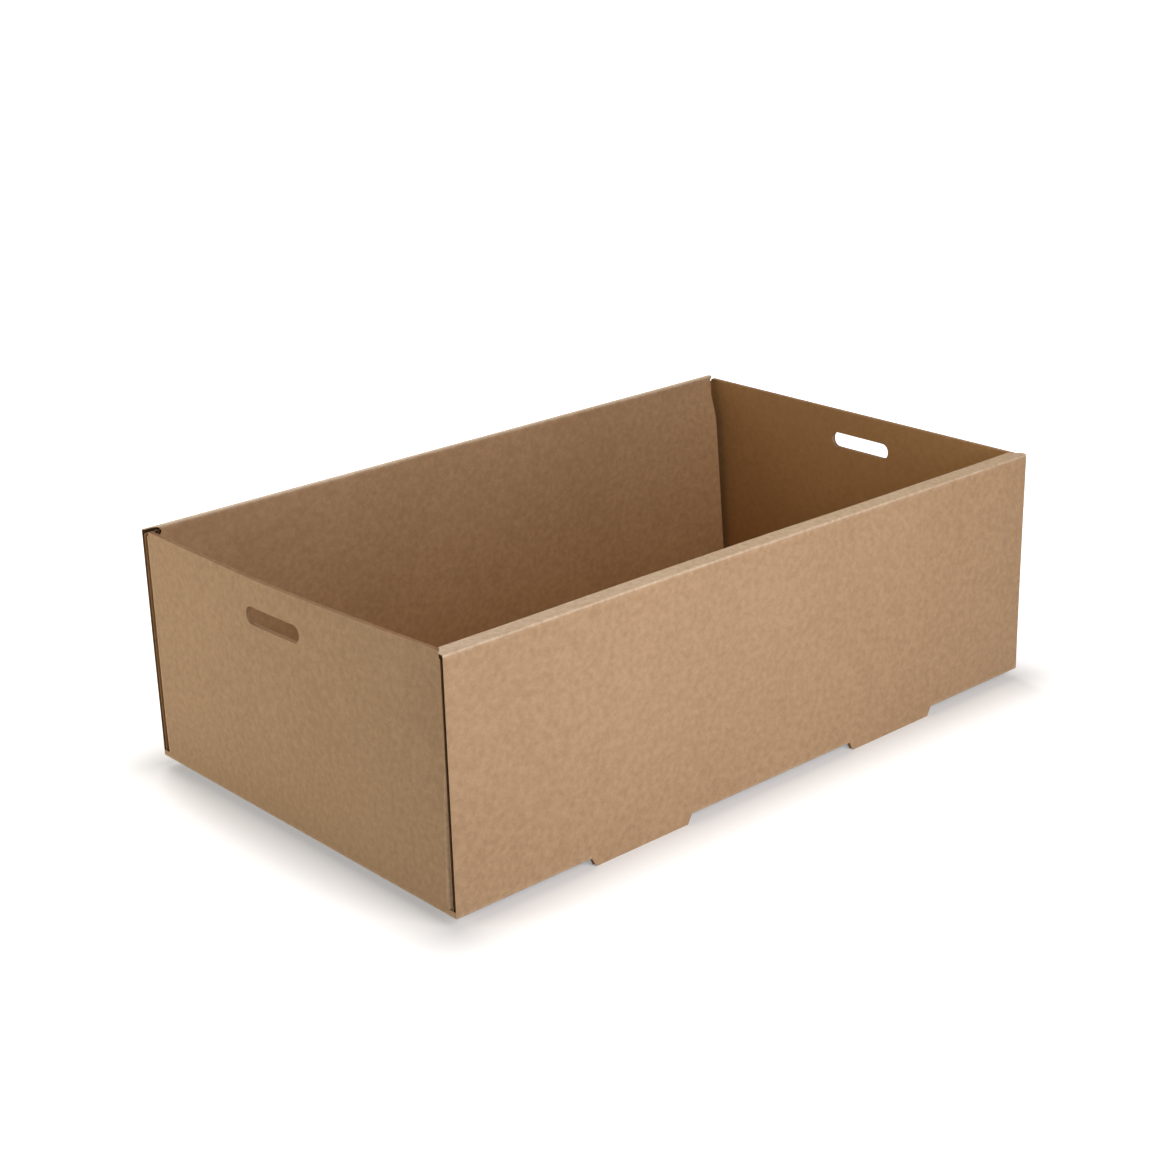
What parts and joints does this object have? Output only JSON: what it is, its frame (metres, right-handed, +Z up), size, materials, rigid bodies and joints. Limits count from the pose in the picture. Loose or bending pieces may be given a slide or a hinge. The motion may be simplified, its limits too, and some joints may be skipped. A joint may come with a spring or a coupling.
{
  "type": "cardboard tray box",
  "caption": "Open rectangular tray folded from one sheet of brown corrugated board, with roll-over long walls, single end walls with hand holes, and lock feet under the long walls.",
  "frame": {"origin": "centre of the tray's outline, on the surface that the feet stand on", "axes": "+X along the long walls, +Y across the tray, +Z up towards the open top"},
  "size_m": [0.48, 0.29, 0.1554],
  "materials": {
    "kraft_board": "matt, uncoated brown paper with fine fibre specks"
  },
  "bodies": {
    "root": {"tray": "kraft_board"}
  },
  "joints": []
}
